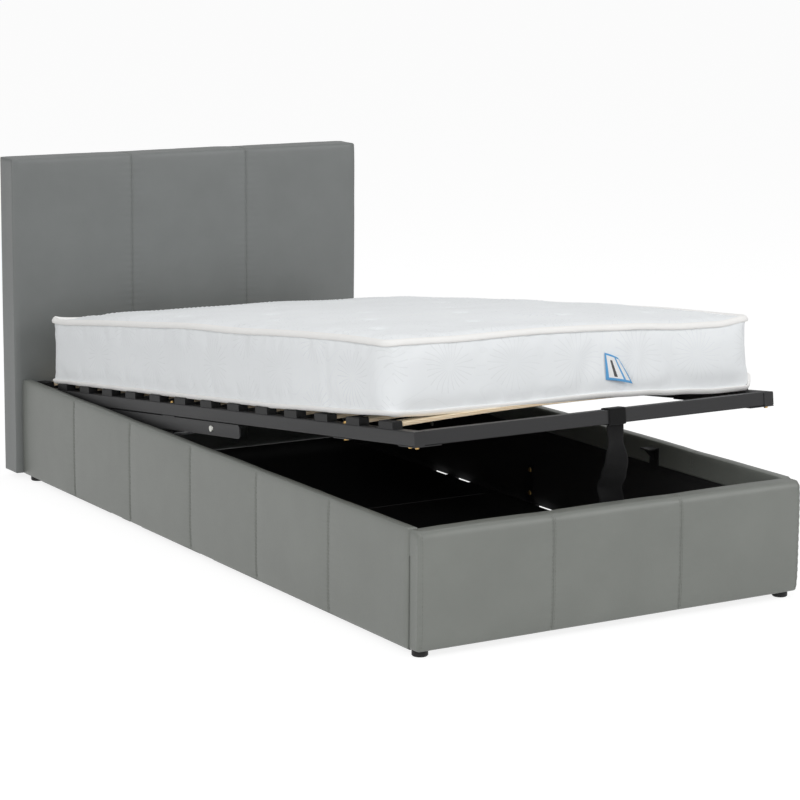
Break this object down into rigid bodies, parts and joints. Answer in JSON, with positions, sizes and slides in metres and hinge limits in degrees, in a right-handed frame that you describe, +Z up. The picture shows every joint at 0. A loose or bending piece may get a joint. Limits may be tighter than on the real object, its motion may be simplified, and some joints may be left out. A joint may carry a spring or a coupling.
{
  "type": "ottoman bed",
  "caption": "Upholstered single ottoman bed: padded base and headboard, slatted platform that lifts on gas struts, with mattress and pull strap.",
  "frame": {"origin": "on the floor under the middle of the bed, at the bottom of the glides", "axes": "+X to the right as seen from the foot end, +Y from the foot to the headboard, +Z up"},
  "size_m": [1.022, 2.025, 0.84],
  "materials": {
    "leather_cover": "satin",
    "panel_board": "matte",
    "black_cloth": "matte",
    "floor_board": "matte",
    "black_plastic": "matte",
    "black_steel": "satin",
    "rail_paint": "satin",
    "zinc_steel": "satin",
    "yellow_zinc": "satin",
    "rod_chrome": "polished",
    "birch": "satin",
    "mattress_cloth": "matte"
  },
  "bodies": {
    "base": {"centre_screws": "yellow_zinc", "centre_straps": "black_steel", "corner_bolts": "zinc_steel", "corner_brackets": "black_steel", "floor_panels": "floor_board", "floor_supports": "floor_board", "foot_board": "panel_board", "foot_cover": "leather_cover", "glides": "black_plastic", "headboard_back_cloth": "black_cloth", "headboard_board": "panel_board", "headboard_cover": "leather_cover", "hinge_plate_bolts": "zinc_steel", "inner_lining": "black_cloth", "left_hinge_plate": "black_steel", "left_side_board": "panel_board", "left_side_cover": "leather_cover", "pivot_pins": "zinc_steel", "platform_rests": "black_steel", "right_hinge_plate": "black_steel", "right_side_board": "panel_board", "right_side_cover": "leather_cover", "strut_lower_studs": "zinc_steel"},
    "platform": {"foot_rail": "rail_paint", "frame_bolts": "zinc_steel", "frame_gussets": "black_steel", "head_rail": "rail_paint", "left_lift_arm": "black_steel", "left_side_rail": "rail_paint", "mattress": "mattress_cloth", "middle_rail": "rail_paint", "pull_strap": "black_cloth", "rail_end_plugs": "black_plastic", "rail_sleeves": "rail_paint", "right_lift_arm": "black_steel", "right_side_rail": "rail_paint", "slat_01": "birch", "slat_02": "birch", "slat_03": "birch", "slat_04": "birch", "slat_05": "birch", "slat_06": "birch", "slat_07": "birch", "slat_08": "birch", "slat_09": "birch", "slat_10": "birch", "slat_11": "birch", "slat_12": "birch", "slat_13": "birch", "slat_14": "birch", "slat_holders": "black_plastic", "strut_upper_studs": "zinc_steel"},
    "left_strut_tube": {"left_strut_base_end": "black_plastic", "left_strut_cylinder": "black_steel"},
    "right_strut_tube": {"right_strut_base_end": "black_plastic", "right_strut_cylinder": "black_steel"},
    "left_strut_rod": {"left_strut_rod": "rod_chrome", "left_strut_rod_end": "black_plastic"},
    "right_strut_rod": {"right_strut_rod": "rod_chrome", "right_strut_rod_end": "black_plastic"}
  },
  "joints": [
    {"name": "platform_lift", "type": "hinge", "parent": "base", "child": "platform", "pos_m": [0, 0.5975, 0.2315], "axis": [-1, 0, 0], "range_deg": [-6.35, 27], "stiffness_Nm_per_rad": 1136, "springref_deg": 27},
    {"name": "left_strut_swing", "type": "hinge", "parent": "base", "child": "left_strut_tube", "pos_m": [-0.44, 0.3835, 0.1975], "axis": [-1, 0, 0], "range_deg": [-9.5, 36.5]},
    {"name": "left_strut_slide", "type": "slide", "parent": "left_strut_tube", "child": "left_strut_rod", "axis": [0, -0.9722, 0.234], "range_m": [-0.018, 0.068]},
    {"name": "right_strut_swing", "type": "hinge", "parent": "base", "child": "right_strut_tube", "pos_m": [0.44, 0.3835, 0.1975], "axis": [-1, 0, 0], "range_deg": [-9.5, 36.5]},
    {"name": "right_strut_slide", "type": "slide", "parent": "right_strut_tube", "child": "right_strut_rod", "axis": [0, -0.9722, 0.234], "range_m": [-0.018, 0.068]}
  ],
  "couplings": [
    {"joint": "left_strut_swing", "follows": "platform_lift", "ratio": 1.3315},
    {"joint": "left_strut_slide", "follows": "platform_lift", "m_per_rad": 0.13995},
    {"joint": "right_strut_swing", "follows": "platform_lift", "ratio": 1.3315},
    {"joint": "right_strut_slide", "follows": "platform_lift", "m_per_rad": 0.13995}
  ]
}
